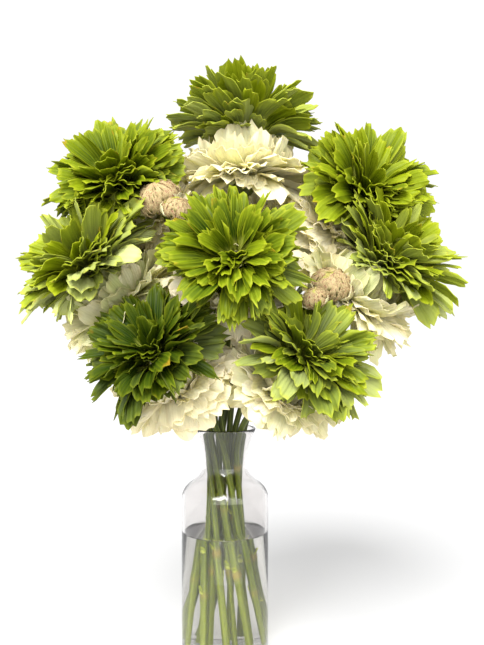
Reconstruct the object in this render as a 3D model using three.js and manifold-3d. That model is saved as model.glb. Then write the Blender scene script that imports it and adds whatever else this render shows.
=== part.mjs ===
// A bunch of ten cut ranunculus with green crowns, and four half-open buds, standing in a clear
// glass bottle vase with water. Millimetres, +Z up, origin at the centre of the vase's foot.
import * as THREE from "three";
import { mergeVertices } from "three/addons/utils/BufferGeometryUtils.js";
import Module from "manifold-3d";

const wasm = await Module();
wasm.setup();

// Clear space left between two pieces that touch.
const GAP = 0.3;
const GOLDEN_ANGLE = Math.PI * (3 - Math.sqrt(5));

// The vase is a round bottle: a straight body, a round shoulder, a waist and a flared mouth.
const VASE = {
  height: 180,
  bodyRadius: 35,
  waistRadius: 18,
  mouthRadius: 25,
  wall: 2.2,
  floor: 7,
  footChamfer: 3,
  shoulderStart: 124,
  waist: 150,
  facets: 26,
};
const WATER_LEVEL = 96;
// A plain shape round the vase that petals stay out of.
const VASE_KEEP_OUT = [
  [0, 0],
  [VASE.bodyRadius + 3, 0],
  [VASE.bodyRadius + 3, VASE.shoulderStart + 6],
  [VASE.mouthRadius + 3, VASE.waist],
  [VASE.mouthRadius + 3, VASE.height + 3],
  [0, VASE.height + 3],
];

// Stems cross in the waist. They stand in two rings there, and wider apart on the floor.
const STEM_SIDES = 6;
const STEM_LIFT = 0.75;
const BEND_STEPS = 6;
const STEM_TWIST = THREE.MathUtils.degToRad(75);
const RISE_HANDLE = 0.6;
const HEAD_HANDLE = 0.2;
const STRAIGHT_END = 2;
const RINGS = {
  outer: { atWaist: 12.6, atFloor: 26 },
  inner: { atWaist: 5.4, atFloor: 15 },
};

// Each flower: the centre that its crown fans out from, the way it faces, the crown's reach, and
// its stem's slot in the waist, as a ring and an angle in degrees.
const FLOWERS = [
  { name: "top", crown: [16, 15, 407], facing: [0, 0.05, 1], reach: 69, slot: ["inner", 152] },
  { name: "upper_left", crown: [-80, 0, 368], facing: [-0.28, -0.7, 0.66], reach: 65, slot: ["outer", 240] },
  { name: "upper_right", crown: [108, 0, 361], facing: [0.28, -0.7, 0.66], reach: 65, slot: ["outer", 80] },
  { name: "left", crown: [-95, -18, 299], facing: [-0.62, -0.4, 0.68], reach: 69, slot: ["outer", 200] },
  { name: "right", crown: [115, -18, 303], facing: [0.62, -0.4, 0.68], reach: 69, slot: ["outer", 40] },
  { name: "middle", crown: [9, -62, 306], facing: [0, -0.87, 0.5], reach: 60, slot: ["inner", 80] },
  { name: "lower_left", crown: [-45, -58, 236], facing: [-0.42, -0.66, 0.62], reach: 59, slot: ["outer", 280] },
  { name: "lower_right", crown: [55, -55, 234], facing: [0.45, -0.62, 0.64], reach: 61, slot: ["outer", 320] },
  { name: "back_upper", crown: [56, 55, 350], facing: [0.2, 0.66, 0.72], reach: 61, slot: ["outer", 120] },
  { name: "back_lower", crown: [-25, 56, 262], facing: [-0.22, 0.86, 0.46], reach: 60, slot: ["outer", 160] },
];
const FLOWER_STEM_RADIUS = 2.4;

// Each bud: the base of its head, the way it faces, the head's radius and its stem's slot.
const BUDS = [
  { name: "left_large", base: [-45, -34, 348], facing: [-0.35, -0.5, 0.8], radius: 17, slot: ["inner", 224] },
  { name: "left_small", base: [-35, -61, 338], facing: [0.3, -0.45, 0.84], radius: 12, slot: ["inner", 296] },
  { name: "right_large", base: [80, -36, 283], facing: [0.1, -0.6, 0.8], radius: 16, slot: ["outer", 0] },
  { name: "right_small", base: [69, -60, 278], facing: [-0.35, -0.7, 0.62], radius: 9, slot: ["inner", 8] },
];
const BUD_STEM_RADIUS = 1.7;

// Proportions of a flower, as shares of its crown's reach.
const SHARE = {
  receptacle: 0.53,
  parting: 0.22,
  crownRoot: 0.17,
};
const GREEN = { petals: 22, halfWidth: 0.22, steepest: 8, widest: 102 };
const WHITE = { petals: 11, length: 0.74, halfWidth: 0.31, steepest: 34, widest: 112 };

// A petal that meets a neighbour is made shorter and steeper in these steps, and left out after the last.
const FIT_STEPS = 10;
const SHORTER = 0.05;
const STEEPER = 0.015;

// A random number from 0 to 1 that is the same in every run.
function seededRandom(seed) {
  let state = seed;
  return () => {
    state = (state + 0x6d2b79f5) | 0;
    let t = Math.imul(state ^ (state >>> 15), 1 | state);
    t = (t + Math.imul(t ^ (t >>> 7), 61 | t)) ^ t;
    return ((t ^ (t >>> 14)) >>> 0) / 4294967296;
  };
}

// Solids and meshes
function solidOf(geometry) {
  const bare = geometry.index ? geometry.toNonIndexed() : geometry.clone();
  bare.deleteAttribute("normal");
  bare.deleteAttribute("uv");
  const merged = mergeVertices(bare, 1e-3);
  return new wasm.Manifold(
    new wasm.Mesh({
      numProp: 3,
      vertProperties: merged.attributes.position.array,
      triVerts: new Uint32Array(merged.index.array),
    }),
  );
}

function geometryOf(solid) {
  const { numProp, vertProperties, triVerts } = solid.getMesh();
  const corners = new Float32Array((vertProperties.length / numProp) * 3);
  for (let i = 0; i < corners.length / 3; i++) {
    corners.set(vertProperties.subarray(i * numProp, i * numProp + 3), i * 3);
  }
  const geometry = new THREE.BufferGeometry();
  geometry.setAttribute("position", new THREE.BufferAttribute(corners, 3));
  geometry.setIndex(new THREE.BufferAttribute(triVerts, 1));
  geometry.computeVertexNormals();
  return geometry;
}

// Joins solids into one body, and drops any scrap that hangs loose from it.
function joined(solids) {
  const whole = solids.reduce((sum, solid) => sum.add(solid));
  return whole.decompose().reduce((a, b) => (a.volume() > b.volume() ? a : b));
}

function turned(profile, facets) {
  const points = profile.map(([r, z]) => new THREE.Vector2(r, z));
  // LatheGeometry turns about Y, so the result is laid over to stand along +Z.
  return new THREE.LatheGeometry(points, facets).rotateX(Math.PI / 2);
}

const bunch = new THREE.Group();
function addPiece(name, geometry, material) {
  const mesh = new THREE.Mesh(geometry, material);
  mesh.name = name;
  bunch.add(mesh);
}

// Materials
function clear(color, roughness, opacity) {
  return new THREE.MeshStandardMaterial({ color, roughness, transparent: true, opacity });
}
const glass = clear(0xe9efec, 0.03, 0.3);
const water = clear(0xdfe8e2, 0.02, 0.25);
const stemGreen = new THREE.MeshStandardMaterial({ color: 0x7f9534, roughness: 0.5 });
const petalWhite = new THREE.MeshStandardMaterial({ color: 0xe9e2cc, roughness: 0.65 });
const petalGreen = new THREE.MeshStandardMaterial({ color: 0x5f7f14, roughness: 0.5 });
const budBlush = new THREE.MeshStandardMaterial({ color: 0xcfb295, roughness: 0.65 });

// Vase
function vaseSide(inset) {
  const body = VASE.bodyRadius - inset;
  const waist = VASE.waistRadius - inset;
  const mouth = VASE.mouthRadius - inset;
  const pull = 0.5 * (VASE.waist - VASE.shoulderStart);
  const shoulder = new THREE.CubicBezierCurve(
    new THREE.Vector2(body, VASE.shoulderStart),
    new THREE.Vector2(body, VASE.shoulderStart + pull),
    new THREE.Vector2(waist, VASE.waist - pull),
    new THREE.Vector2(waist, VASE.waist),
  );
  const flare = new THREE.QuadraticBezierCurve(
    new THREE.Vector2(waist, VASE.waist),
    new THREE.Vector2(waist, VASE.waist + pull),
    new THREE.Vector2(mouth, VASE.height),
  );
  return [...shoulder.getPoints(5), ...flare.getPoints(3).slice(1)].map((p) => [p.x, p.y]);
}

function insideOfVase(clearance) {
  const radius = VASE.bodyRadius - VASE.wall - clearance;
  const floor = VASE.floor + clearance;
  return [
    [0, floor],
    [radius - VASE.footChamfer, floor],
    [radius, floor + VASE.footChamfer],
  ];
}

addPiece(
  "vase",
  turned(
    [
      [0, 0],
      [VASE.bodyRadius - VASE.footChamfer, 0],
      [VASE.bodyRadius, VASE.footChamfer],
      ...vaseSide(0),
      ...vaseSide(VASE.wall).reverse(),
      ...insideOfVase(0).reverse(),
    ],
    VASE.facets,
  ),
  glass,
);

// Stems: straight from the floor to the waist, then in one bend to the head.
function polar(radius, angle, z) {
  return new THREE.Vector3(radius * Math.cos(angle), radius * Math.sin(angle), z);
}

function stemPath([ringName, degrees], end, facing) {
  const ring = RINGS[ringName];
  const angle = THREE.MathUtils.degToRad(degrees);
  const foot = polar(ring.atFloor, angle + STEM_TWIST, VASE.floor + STEM_LIFT);
  const waist = polar(ring.atWaist, angle, VASE.waist);
  const rise = waist.clone().sub(foot).normalize();
  const reach = waist.distanceTo(end);
  const bend = new THREE.CubicBezierCurve3(
    waist,
    waist.clone().addScaledVector(rise, RISE_HANDLE * reach),
    end.clone().addScaledVector(facing, -HEAD_HANDLE * reach),
    end,
  );
  return { foot, waist, bend };
}

// Points along a stem, closer together where it bends.
function stemPoints({ foot, waist, bend }, facing) {
  const straight = [foot, foot.clone().lerp(waist, 0.5)];
  const end = bend.getPoint(1);
  const bent = bend.getPoints(BEND_STEPS).slice(0, -1);
  // The last step runs straight along the head's facing, so the cut end lies flat under the head.
  return [...straight, ...bent, end.clone().addScaledVector(facing, -STRAIGHT_END), end];
}

function stemGeometry(points, radius) {
  const ring = Array.from({ length: STEM_SIDES }, (_, i) => {
    const angle = (i / STEM_SIDES) * 2 * Math.PI;
    return new THREE.Vector2(radius * Math.cos(angle), radius * Math.sin(angle));
  });
  return new THREE.ExtrudeGeometry(new THREE.Shape(ring), {
    steps: points.length - 1,
    extrudePath: new ThroughPoints(points),
  });
}

// A path that gives exactly the listed points, one at each step of an extrusion.
class ThroughPoints extends THREE.Curve {
  constructor(points) {
    super();
    this.points = points;
  }
  getPoint(t, target = new THREE.Vector3()) {
    const last = this.points.length - 1;
    const step = Math.min(Math.floor(t * last), last - 1);
    return target.lerpVectors(this.points[step], this.points[step + 1], t * last - step);
  }
  getPointAt(u, target) {
    return this.getPoint(u, target);
  }
  getTangentAt(u, target = new THREE.Vector3()) {
    const last = this.points.length - 1;
    const at = Math.round(u * last);
    const before = this.points[Math.max(at - 1, 0)];
    const after = this.points[Math.min(at + 1, last)];
    return target.subVectors(after, before).normalize();
  }
}

const vector = (list) => new THREE.Vector3(...list);

// Heads: what a flower and a bud have in common.
const heads = [
  ...FLOWERS.map((f) => {
    const facing = vector(f.facing).normalize();
    const crown = vector(f.crown);
    const base = crown.clone().addScaledVector(facing, -SHARE.receptacle * f.reach);
    const shape = { facing, crown, base, reach: f.reach, stemRadius: FLOWER_STEM_RADIUS };
    return { kind: "flower", name: f.name, slot: f.slot, ...shape };
  }),
  ...BUDS.map((b) => {
    const facing = vector(b.facing).normalize();
    const base = vector(b.base);
    const crown = base.clone().addScaledVector(facing, b.radius);
    const shape = { facing, crown, base, reach: b.radius, stemRadius: BUD_STEM_RADIUS };
    return { kind: "bud", name: b.name, slot: b.slot, ...shape };
  }),
];
for (const head of heads) {
  const end = head.base.clone().addScaledVector(head.facing, -GAP);
  head.path = stemPath(head.slot, end, head.facing);
  head.stemPoints = stemPoints(head.path, head.facing);
}

for (const head of heads) {
  addPiece(`${head.name}_stem`, stemGeometry(head.stemPoints, head.stemRadius), stemGreen);
}

// Water, with a plain hole for each stem
function waterGeometry() {
  const sides = insideOfVase(GAP);
  const radius = sides[sides.length - 1][0];
  const body = solidOf(turned([...sides, [radius, WATER_LEVEL], [0, WATER_LEVEL]], VASE.facets));
  const holes = heads.map(({ path, stemRadius }) => {
    const rise = path.waist.clone().sub(path.foot).normalize();
    const below = path.foot.clone().addScaledVector(rise, -VASE.floor);
    const above = path.waist;
    return solidOf(stemGeometry([below, above], stemRadius + 2 * GAP));
  });
  const cut = holes.reduce((rest, hole) => rest.subtract(hole), body);
  if (cut.decompose().length !== 1) throw new Error("the stems cut the water apart");
  return geometryOf(cut);
}
addPiece("water", waterGeometry(), water);

// Room: blades are placed one after another, and each is tested against all that stands there.
const placed = [];
const boxOf = (solid) => {
  const { min, max } = solid.boundingBox();
  return new THREE.Box3(vector(min), vector(max));
};

function claim(owner, solid) {
  placed.push({ owner, solid, box: boxOf(solid) });
}

function isClear(owner, solid) {
  const box = boxOf(solid);
  const isApart = (other) => !other.box.intersectsBox(box) || other.solid.intersect(solid).isEmpty();
  return placed.every((other) => other.owner === owner || isApart(other));
}

claim("vase", solidOf(turned(VASE_KEEP_OUT, VASE.facets)));
for (const head of heads) {
  claim("stems", solidOf(stemGeometry(head.stemPoints, head.stemRadius + 2 * GAP)));
}

function closestPoints(a0, a1, b0, b1) {
  const STEPS = 12;
  let best = { distance: Infinity };
  for (let i = 0; i <= STEPS; i++) {
    const a = a0.clone().lerp(a1, i / STEPS);
    const b = new THREE.Line3(b0, b1).closestPointToPoint(a, true, new THREE.Vector3());
    if (a.distanceTo(b) < best.distance) best = { a, b, distance: a.distanceTo(b) };
  }
  return best;
}

// Neighbouring heads mix a little where they meet: a blade may pass the plane halfway between
// two heads by this share of its head's reach.
const MIXING = 0.22;

function homeOf(head) {
  const planes = heads
    .filter((other) => other !== head)
    .map((other) => {
      const { a, b, distance } = closestPoints(head.base, head.crown, other.base, other.crown);
      const share = head.reach / (head.reach + other.reach);
      const away = b.clone().sub(a).normalize();
      return { away, limit: away.dot(a) + distance * share + MIXING * head.reach };
    });
  return (point) => planes.every(({ away, limit }) => away.dot(point) < limit);
}

// A petal blade
// The outline runs from one root point through pairs of edge points to the points of the tip.
// stations: share of the length, half width as a share, and half thickness in mm.
// tip: share of the length, place across, and lift as a share of the half width.
const GREEN_OUTLINE = {
  stations: [
    { along: 0.45, half: 0.24, thick: 0.7 },
    { along: 0.88, half: 1, thick: 0.6 },
  ],
  tip: [
    [0.87, -0.45, 0.02],
    [1, 0, 0.06],
    [0.87, 0.45, 0.02],
  ],
  edgeLift: 0.28,
};
const WHITE_OUTLINE = {
  stations: [
    { along: 0.4, half: 0.5, thick: 0.7 },
    { along: 0.8, half: 1, thick: 0.6 },
  ],
  tip: [
    [0.97, -0.66, -0.12],
    [0.93, -0.3, 0.2],
    [1, 0.08, -0.04],
    [0.94, 0.45, 0.2],
    [0.95, 0.78, -0.12],
  ],
  edgeLift: 0.22,
};

const BUD_OUTLINE = {
  stations: [{ along: 0.55, half: 1, thick: 0.8 }],
  tip: [
    [0.93, -0.62, 0],
    [0.9, 0, 0.1],
    [0.97, 0.5, 0],
  ],
  edgeLift: 0.35,
};

// Corners of a blade in the head's own frame, and the triangles between them.
function blade(outline, spine, halfWidth, azimuth, roll, grown) {
  const outwards = new THREE.Vector3(Math.cos(azimuth), Math.sin(azimuth), 0);
  const across = new THREE.Vector3(-Math.sin(azimuth), Math.cos(azimuth), 0);
  const up = new THREE.Vector3(0, 0, 1);
  const corner = (along, side, lift) => {
    const on = spine.getPoint(along);
    const way = spine.getTangent(along);
    const forward = outwards.clone().multiplyScalar(way.x).addScaledVector(up, way.y);
    const face = outwards.clone().multiplyScalar(-way.y).addScaledVector(up, way.x);
    const sideways = across.clone().applyAxisAngle(forward, roll);
    const raised = face.applyAxisAngle(forward, roll);
    return outwards
      .clone()
      .multiplyScalar(on.x)
      .addScaledVector(up, on.y)
      .addScaledVector(sideways, side)
      .addScaledVector(raised, lift);
  };
  const corners = [corner(0, 0, 0)];
  const rows = outline.stations.map(({ along, half, thick }) => {
    const side = half * halfWidth + grown;
    const lift = outline.edgeLift * side;
    const first = corners.length;
    corners.push(corner(along, side, lift), corner(along, -side, lift));
    corners.push(corner(along, 0, thick + grown), corner(along, 0, -thick - grown));
    return { left: first, right: first + 1, top: first + 2, bottom: first + 3 };
  });
  const tip = outline.tip.map(([along, side, lift]) => {
    corners.push(corner(along, side * halfWidth, lift * halfWidth));
    return corners.length - 1;
  });
  const first = rows[0];
  const last = rows[rows.length - 1];
  const triangles = [
    [0, first.right, first.top],
    [0, first.top, first.left],
    [0, first.left, first.bottom],
    [0, first.bottom, first.right],
  ];
  for (let i = 1; i < rows.length; i++) {
    const near = rows[i - 1];
    const far = rows[i];
    triangles.push(
      [near.right, far.right, far.top],
      [near.right, far.top, near.top],
      [near.top, far.top, far.left],
      [near.top, far.left, near.left],
      [near.left, far.left, far.bottom],
      [near.left, far.bottom, near.bottom],
      [near.bottom, far.bottom, far.right],
      [near.bottom, far.right, near.right],
    );
  }
  const rim = [last.right, ...tip, last.left];
  for (let i = 1; i < rim.length; i++) {
    triangles.push([last.top, rim[i - 1], rim[i]], [last.bottom, rim[i], rim[i - 1]]);
  }
  return { corners, triangles };
}

function bladeSolid({ corners, triangles }) {
  const geometry = new THREE.BufferGeometry().setFromPoints(corners);
  geometry.setIndex(triangles.flat());
  return solidOf(geometry);
}

// Places a head's own frame in space: +Z along the way it faces, at the given origin.
function placement(head, origin) {
  const turn = new THREE.Quaternion().setFromUnitVectors(new THREE.Vector3(0, 0, 1), head.facing);
  return new THREE.Matrix4().compose(origin, turn, new THREE.Vector3(1, 1, 1));
}

// The longest and widest-spread blade that fits, or null where there is no room for it.
// make: (length factor, angle factor, growth in mm) => blade in the head's own frame
function fittedBlade(owner, make, place, isHome) {
  for (let step = 0; step < FIT_STEPS; step++) {
    const factors = [1 - SHORTER * step, 1 - STEEPER * step];
    const shown = make(...factors, 0);
    shown.corners.forEach((corner) => corner.applyMatrix4(place));
    const grown = make(...factors, GAP);
    grown.corners.forEach((corner) => corner.applyMatrix4(place));
    if (shown.corners.every(isHome) && isClear(owner, bladeSolid(grown))) return bladeSolid(shown);
  }
  return null;
}

// Green crown: spoon-shaped petals with toothed tips, on long claws that fan out from a short core
function greenSpine(reach, length, angle) {
  const root = new THREE.Vector2(0.09 * reach * Math.sin(angle), -SHARE.crownRoot * reach);
  const centre = 0.08 * reach;
  const tip = new THREE.Vector2(length * Math.sin(angle), centre + length * Math.cos(angle));
  const lean = 0.3 * angle;
  const pull = 0.5 * length;
  const bend = new THREE.Vector2(root.x + pull * Math.sin(lean), root.y + pull * Math.cos(lean));
  bend.y += 0.12 * reach;
  return new THREE.QuadraticBezierCurve(root, bend, tip);
}

function greenCore(reach) {
  const low = -SHARE.parting * reach + GAP / 2;
  const profile = [
    [0, low],
    [0.13 * reach, low],
    [0.17 * reach, low + 0.16 * reach],
    [0.11 * reach, low + 0.34 * reach],
    [0, low + 0.4 * reach],
  ];
  return turned(profile, 7);
}

// White petals: broad, waved and cupped, the outer ones laid back
function whiteSpine(reach, length, angle) {
  const base = -SHARE.receptacle * reach;
  const root = new THREE.Vector2(0.06 * reach, base + 0.1 * reach);
  const tip = new THREE.Vector2(length * Math.sin(angle), base + 0.12 * reach + length * Math.cos(angle));
  const bulge = Math.max(0, Math.cos(angle));
  const bend = new THREE.Vector2(
    (0.3 + 0.28 * bulge) * reach,
    base + (0.24 - 0.14 * bulge) * reach,
  );
  return new THREE.QuadraticBezierCurve(root, bend, tip);
}

function whiteCore(reach) {
  const base = -SHARE.receptacle * reach;
  const top = -SHARE.parting * reach - GAP / 2;
  const profile = [
    [0, base],
    [0.09 * reach, base],
    [0.19 * reach, base + 0.12 * reach],
    [0.16 * reach, top],
    [0, top],
  ];
  return turned(profile, 7);
}

function greenBlade(head, index, random) {
  const low = Math.cos(THREE.MathUtils.degToRad(GREEN.steepest));
  const high = Math.cos(THREE.MathUtils.degToRad(GREEN.widest));
  const angle = Math.acos(THREE.MathUtils.lerp(low, high, (index + 0.5) / GREEN.petals));
  const length = head.reach * (0.92 + 0.13 * random());
  const halfWidth = head.reach * GREEN.halfWidth * (0.9 + 0.25 * random());
  const azimuth = index * GOLDEN_ANGLE + 0.3 * random();
  const roll = 0.5 * (random() - 0.5);
  return (shorter, steeper, grown) => {
    const spine = greenSpine(head.reach, length * shorter, angle * steeper);
    return blade(GREEN_OUTLINE, spine, halfWidth * shorter, azimuth, roll, grown);
  };
}

function whiteBlade(head, index, random) {
  const share = index / (WHITE.petals - 1);
  const angle = THREE.MathUtils.degToRad(THREE.MathUtils.lerp(WHITE.widest, WHITE.steepest, share));
  const length = head.reach * WHITE.length * (0.94 + 0.12 * random());
  const halfWidth = head.reach * WHITE.halfWidth * (0.9 + 0.2 * random());
  const azimuth = index * GOLDEN_ANGLE + 0.2 * random();
  const roll = 0.3 * (random() - 0.5);
  return (shorter, steeper, grown) => {
    const spine = whiteSpine(head.reach, length * shorter, angle * steeper);
    return blade(WHITE_OUTLINE, spine, halfWidth * shorter, azimuth, roll, grown);
  };
}

// Buds: a round core wrapped in cupped petals that close over it
function budOf(head, seed) {
  const random = seededRandom(seed);
  const r = head.reach;
  const place = placement(head, head.base);
  const profile = [
    [0, 0],
    [0.4 * r, 0.02 * r],
    [0.8 * r, 0.55 * r],
    [0.66 * r, 1.3 * r],
    [0.25 * r, 1.6 * r],
    [0, 1.55 * r],
  ];
  const solids = [solidOf(turned(profile, 8).applyMatrix4(place))];
  const PETALS = 5;
  for (let i = 0; i < PETALS; i++) {
    const spine = new THREE.QuadraticBezierCurve(
      new THREE.Vector2(0.2 * r, 0.15 * r),
      new THREE.Vector2((1.42 + 0.1 * random()) * r, 0.35 * r),
      new THREE.Vector2((0.62 + 0.16 * random()) * r, (1.5 + 0.2 * random()) * r),
    );
    const made = blade(BUD_OUTLINE, spine, 0.62 * r, i * GOLDEN_ANGLE, 0.2 * (random() - 0.5), 0);
    made.corners.forEach((corner) => corner.applyMatrix4(place));
    solids.push(bladeSolid(made));
  }
  return joined(solids);
}

for (const [i, head] of heads.entries()) {
  if (head.kind !== "bud") continue;
  const bud = budOf(head, 300 + i);
  claim(`${head.name}_bud`, bud);
  addPiece(`${head.name}_bud`, geometryOf(bud), budBlush);
}

function layerOf(head, colour, core, place) {
  return { name: `${head.name}_${colour}_petals`, solids: [solidOf(core.applyMatrix4(place))] };
}

// Flowers: all of them grow together, a petal at a time, so that none crowds another out
const flowers = heads
  .filter((head) => head.kind === "flower")
  .map((head, i) => {
    const place = placement(head, head.crown);
    return {
      head,
      place,
      isHome: homeOf(head),
      random: seededRandom(200 + i),
      white: layerOf(head, "white", whiteCore(head.reach), place),
      green: layerOf(head, "green", greenCore(head.reach), place),
    };
  });
for (const { white, green } of flowers) {
  claim(white.name, white.solids[0]);
  claim(green.name, green.solids[0]);
}

function growPetal({ head, place, isHome, random }, layer, makeBlade, index) {
  const fitted = fittedBlade(layer.name, makeBlade(head, index, random), place, isHome);
  if (!fitted) return;
  claim(layer.name, fitted);
  layer.solids.push(fitted);
}

for (let i = 0; i < Math.max(GREEN.petals, WHITE.petals); i++) {
  for (const flower of flowers) {
    if (i < WHITE.petals) growPetal(flower, flower.white, whiteBlade, i);
    if (i < GREEN.petals) growPetal(flower, flower.green, greenBlade, GREEN.petals - 1 - i);
  }
}

for (const { white, green } of flowers) {
  addPiece(white.name, geometryOf(joined(white.solids)), petalWhite);
  addPiece(green.name, geometryOf(joined(green.solids)), petalGreen);
}

export default bunch;
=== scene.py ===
# A bunch of ten ranunculus with green crowns and four half-open buds, in a clear glass bottle vase
# of water. The section order is the order in which the bunch is put together. Sizes are in metres.
import math
import random
from types import SimpleNamespace

import bpy
import numpy as np
from mathutils import Color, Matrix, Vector


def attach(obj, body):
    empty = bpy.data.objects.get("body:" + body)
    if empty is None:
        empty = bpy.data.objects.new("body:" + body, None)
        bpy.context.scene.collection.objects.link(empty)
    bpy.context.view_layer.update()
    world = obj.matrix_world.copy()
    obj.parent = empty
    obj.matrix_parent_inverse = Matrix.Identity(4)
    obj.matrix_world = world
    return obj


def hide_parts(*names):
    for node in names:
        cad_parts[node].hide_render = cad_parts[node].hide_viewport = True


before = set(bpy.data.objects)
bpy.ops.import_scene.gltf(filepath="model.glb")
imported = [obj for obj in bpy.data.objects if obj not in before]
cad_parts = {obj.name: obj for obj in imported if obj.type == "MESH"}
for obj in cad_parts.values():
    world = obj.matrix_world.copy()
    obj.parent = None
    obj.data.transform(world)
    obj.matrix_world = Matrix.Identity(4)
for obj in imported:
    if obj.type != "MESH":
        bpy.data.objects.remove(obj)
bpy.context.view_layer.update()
MM = 0.001

# Camera: level, in front of the bunch and a little right of the vase's axis. It is made first, and
# nothing in the scene is placed from it.
CAMERA_AT = (13.8 * MM, -620 * MM, 265 * MM)
LENS_MM = 42.7
NEAREST_SEEN = 10 * MM
camera_data = bpy.data.cameras.new("camera")
camera_data.lens = LENS_MM
camera_data.clip_start = NEAREST_SEEN
camera = bpy.data.objects.new("camera", camera_data)
camera.location = CAMERA_AT
camera.rotation_euler = (math.pi / 2, 0, 0)
bpy.context.scene.collection.objects.link(camera)
bpy.context.scene.camera = camera


# Vase: blown clear glass, one piece, with a thick floor, a straight body, a round shoulder, a waist
# and a flared mouth. The rim is melted round. It stands on its flat foot, held by its own weight.
VASE_HEIGHT = 180 * MM
BODY_RADIUS = 35 * MM
WAIST_RADIUS = 18 * MM
MOUTH_RADIUS = 25 * MM
WALL = 2.2 * MM
GLASS_FLOOR = 7 * MM
FOOT_ROUNDING = 3 * MM
SHOULDER_START = 124 * MM
WAIST_HEIGHT = 150 * MM
SHOULDER_PULL = 0.5 * (WAIST_HEIGHT - SHOULDER_START)
VASE_SEGMENTS = 112
CURVE_STEPS = 14
ROUND_STEPS = 5
ON_AXIS = 0.01 * MM


def cubic(a, b, c, d, t):
    """The point at share t of a cubic Bezier curve."""
    u = 1 - t
    return u * u * u * a + 3 * u * u * t * b + 3 * u * t * t * c + t * t * t * d


def quadratic(a, b, c, t):
    """The point at share t of a quadratic Bezier curve."""
    u = 1 - t
    return u * u * a + 2 * u * t * b + t * t * c


def neck(inset):
    """The side of the vase from the shoulder's start to the mouth, moved in by inset."""
    body, waist, mouth = (np.array([r - inset, 0]) for r in (BODY_RADIUS, WAIST_RADIUS, MOUTH_RADIUS))
    at = [np.array([0, z]) for z in (SHOULDER_START, SHOULDER_START + SHOULDER_PULL, WAIST_HEIGHT)]
    low_handle = waist + at[2] - np.array([0, SHOULDER_PULL])
    high_handle = waist + at[2] + np.array([0, SHOULDER_PULL])
    top = mouth + np.array([0, VASE_HEIGHT - WALL / 2])
    steps = np.linspace(0, 1, CURVE_STEPS)
    shoulder = [cubic(body + at[0], body + at[1], low_handle, waist + at[2], t) for t in steps]
    flare = [quadratic(waist + at[2], high_handle, top, t) for t in steps[1:]]
    return shoulder + flare


def rounded(centre, radius, start, end):
    """Points on an arc, from one angle in degrees to another."""
    angles = np.radians(np.linspace(start, end, ROUND_STEPS))
    return [np.array(centre) + radius * np.array([math.cos(a), math.sin(a)]) for a in angles]


def turned_mesh(name, profile, segments):
    """A closed mesh turned about Z, from a profile of radius and height that ends on the axis."""
    vertices = []
    rings = []
    for radius, height in profile:
        first = len(vertices)
        count = 1 if radius < ON_AXIS else segments
        for i in range(count):
            angle = 2 * math.pi * i / segments
            vertices.append((radius * math.cos(angle), radius * math.sin(angle), height))
        rings.append([first + i % count for i in range(segments)])
    faces = []
    for low, high in zip(rings, rings[1:]):
        for i in range(segments):
            j = (i + 1) % segments
            corners = [low[i], low[j], high[j], high[i]]
            faces.append(list(dict.fromkeys(corners)))
    mesh = bpy.data.meshes.new(name)
    mesh.from_pydata(vertices, [], faces)
    mesh.polygons.foreach_set("use_smooth", [True] * len(mesh.polygons))
    return mesh


def shown(name, mesh):
    """A mesh as an object in the scene."""
    piece = bpy.data.objects.new(name, mesh)
    bpy.context.scene.collection.objects.link(piece)
    return piece


SCREEN_TOP = 255


def colour(*screen):
    """A colour given by red, green and blue on a screen, from 0 to 255, as Blender's linear values."""
    seen = Color([value / SCREEN_TOP for value in screen])
    return (*seen.from_srgb_to_scene_linear(), 1)


# Sockets known by their place, because others of the node have the same label.
MIX_SHARE, MIX_FIRST, MIX_SECOND, MIX_RESULT = 0, 6, 7, 2
VECTOR_SCALE = 3


def operators(operation):
    """The method that works out an operation on a wire and a wire or number, and its reflection."""

    def plain(wire, other):
        return wire.pair(operation, wire, other)

    def reflected(wire, other):
        return wire.pair(operation, other, wire)

    return plain, reflected


class Wire:
    """A node's output. Sums and products of wires and numbers add the nodes that work them out."""

    def __init__(self, bench, socket):
        self.bench = bench
        self.socket = socket

    def pair(self, operation, first, second):
        sides = [first, second]
        vectors = [isinstance(side, Wire) and side.socket.type == "VECTOR" for side in sides]
        if not any(vectors):
            return self.bench.maths(operation, first, second)
        if operation == "MULTIPLY" and not all(vectors):
            vector, number = sides if vectors[0] else reversed(sides)
            scale = {"operation": "SCALE"}
            return self.bench.add("ShaderNodeVectorMath", scale, {0: vector, VECTOR_SCALE: number})
        return self.bench.vectors(operation, first, second)

    __add__, __radd__ = operators("ADD")
    __sub__, __rsub__ = operators("SUBTRACT")
    __mul__, __rmul__ = operators("MULTIPLY")
    __truediv__, __rtruediv__ = operators("DIVIDE")
    __pow__, __rpow__ = operators("POWER")


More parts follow.
